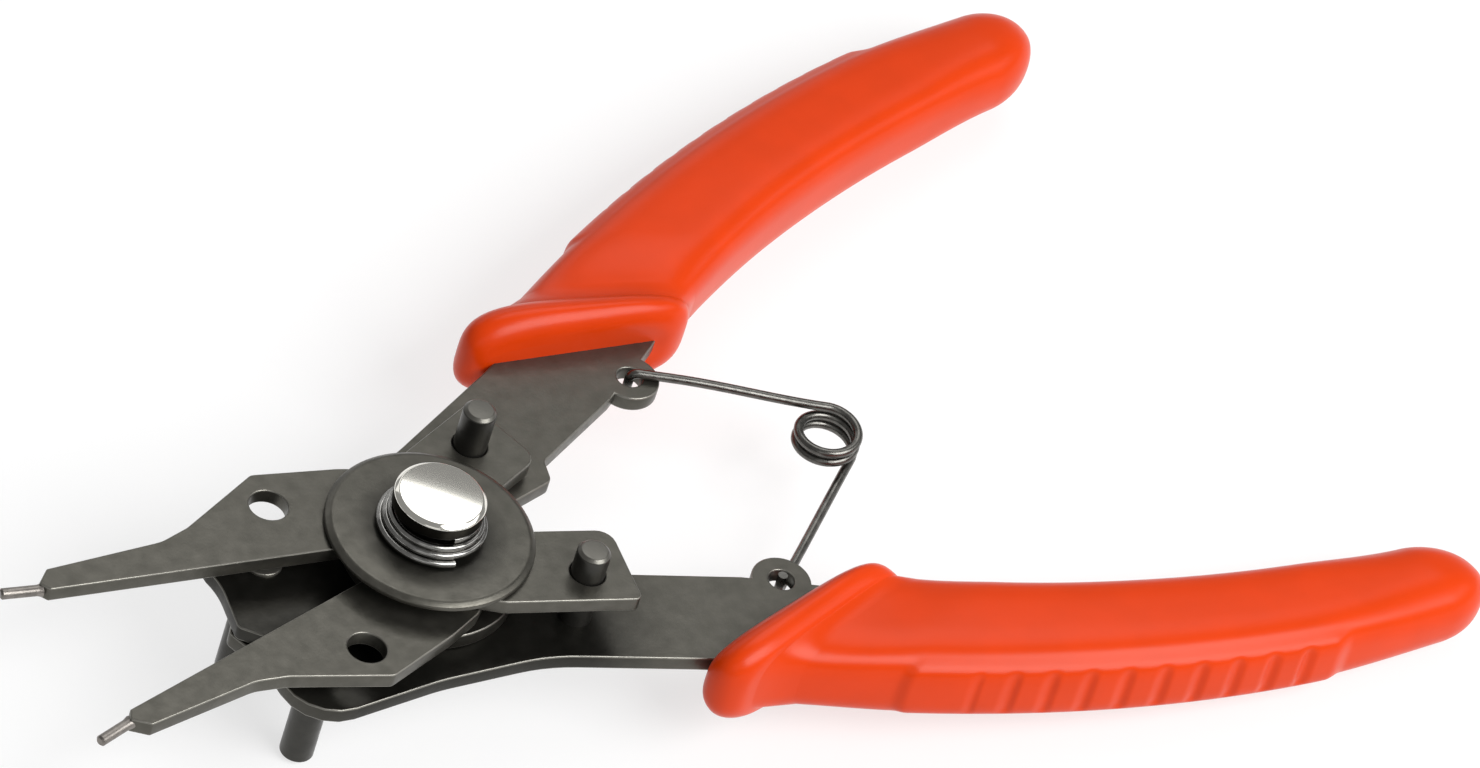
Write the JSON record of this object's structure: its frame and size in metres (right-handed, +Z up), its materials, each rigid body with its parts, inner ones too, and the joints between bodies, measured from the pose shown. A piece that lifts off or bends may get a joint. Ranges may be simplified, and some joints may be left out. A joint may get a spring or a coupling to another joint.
{
  "type": "circlip pliers",
  "caption": "Convertible circlip pliers with interchangeable jaws, a spring-loaded pivot plunger, a wire return spring and moulded orange grips.",
  "frame": {"origin": "on the pivot axis at the underside of the base flange", "axes": "+X along the tool from the pivot to the handles' ends, +Y to the upper handle's side, +Z up along the pivot axis to the knob"},
  "size_m": [0.1732, 0.1052, 0.0292],
  "materials": {
    "dark_steel": "black oxide, semi-gloss",
    "grip": "soft moulded vinyl, semi-gloss",
    "pin_steel": "black oxide, satin",
    "tip_steel": "tempered, satin",
    "bright_steel": "drawn, bright",
    "polished": "polished plating",
    "spring_steel": "drawn, satin"
  },
  "bodies": {
    "upper_handle": {"upper_handle_plate": "dark_steel", "upper_grip": "grip", "upper_rear_pin": "pin_steel", "upper_front_pin": "pin_steel", "lower_jaw": "dark_steel", "lower_tip": "tip_steel", "pivot_sleeve": "bright_steel", "jaw_washer": "bright_steel"},
    "lower_handle": {"lower_handle_plate": "dark_steel", "lower_grip": "grip", "lower_rear_pin": "pin_steel", "lower_front_pin": "pin_steel", "upper_jaw": "dark_steel", "upper_tip": "tip_steel"},
    "plunger": {"plunger_post": "bright_steel", "base_flange": "dark_steel", "plunger_knob": "polished"},
    "disc": {"pressure_disc": "dark_steel", "knob_spring": "bright_steel"},
    "spring_upper": {"return_spring_upper": "spring_steel"},
    "spring_lower": {"return_spring_lower": "spring_steel"}
  },
  "joints": [
    {"name": "handle_squeeze", "type": "hinge", "parent": "upper_handle", "child": "lower_handle", "pos_m": [0, 0, 0.004], "axis": [0, 0, 1], "range_deg": [0, 22], "stiffness_Nm_per_rad": 1, "springref_deg": -22.92},
    {"name": "knob_press", "type": "slide", "parent": "upper_handle", "child": "plunger", "axis": [0, 0, -1], "range_m": [0, 0.001], "stiffness_N_per_m": 600, "springref_m": -0.004, "deforming": ["knob_spring"]},
    {"name": "disc_lift", "type": "slide", "parent": "upper_handle", "child": "disc", "axis": [0, 0, 1], "range_m": [0, 0.0009], "stiffness_N_per_m": 600, "springref_m": -0.004, "deforming": ["knob_spring"]},
    {"name": "spring_swing", "type": "hinge", "parent": "upper_handle", "child": "spring_upper", "pos_m": [0.0409, 0.0164, 0.0077], "axis": [0, 0, 1], "range_deg": [0, 36]},
    {"name": "spring_wind", "type": "hinge", "parent": "spring_upper", "child": "spring_lower", "pos_m": [0.0594, 0.0008, 0.005], "axis": [0, 0, 1], "range_deg": [-46, 0]}
  ],
  "couplings": [
    {"joint": "spring_swing", "follows": "handle_squeeze", "ratio": 1.58},
    {"joint": "spring_wind", "follows": "handle_squeeze", "ratio": -2.02}
  ]
}
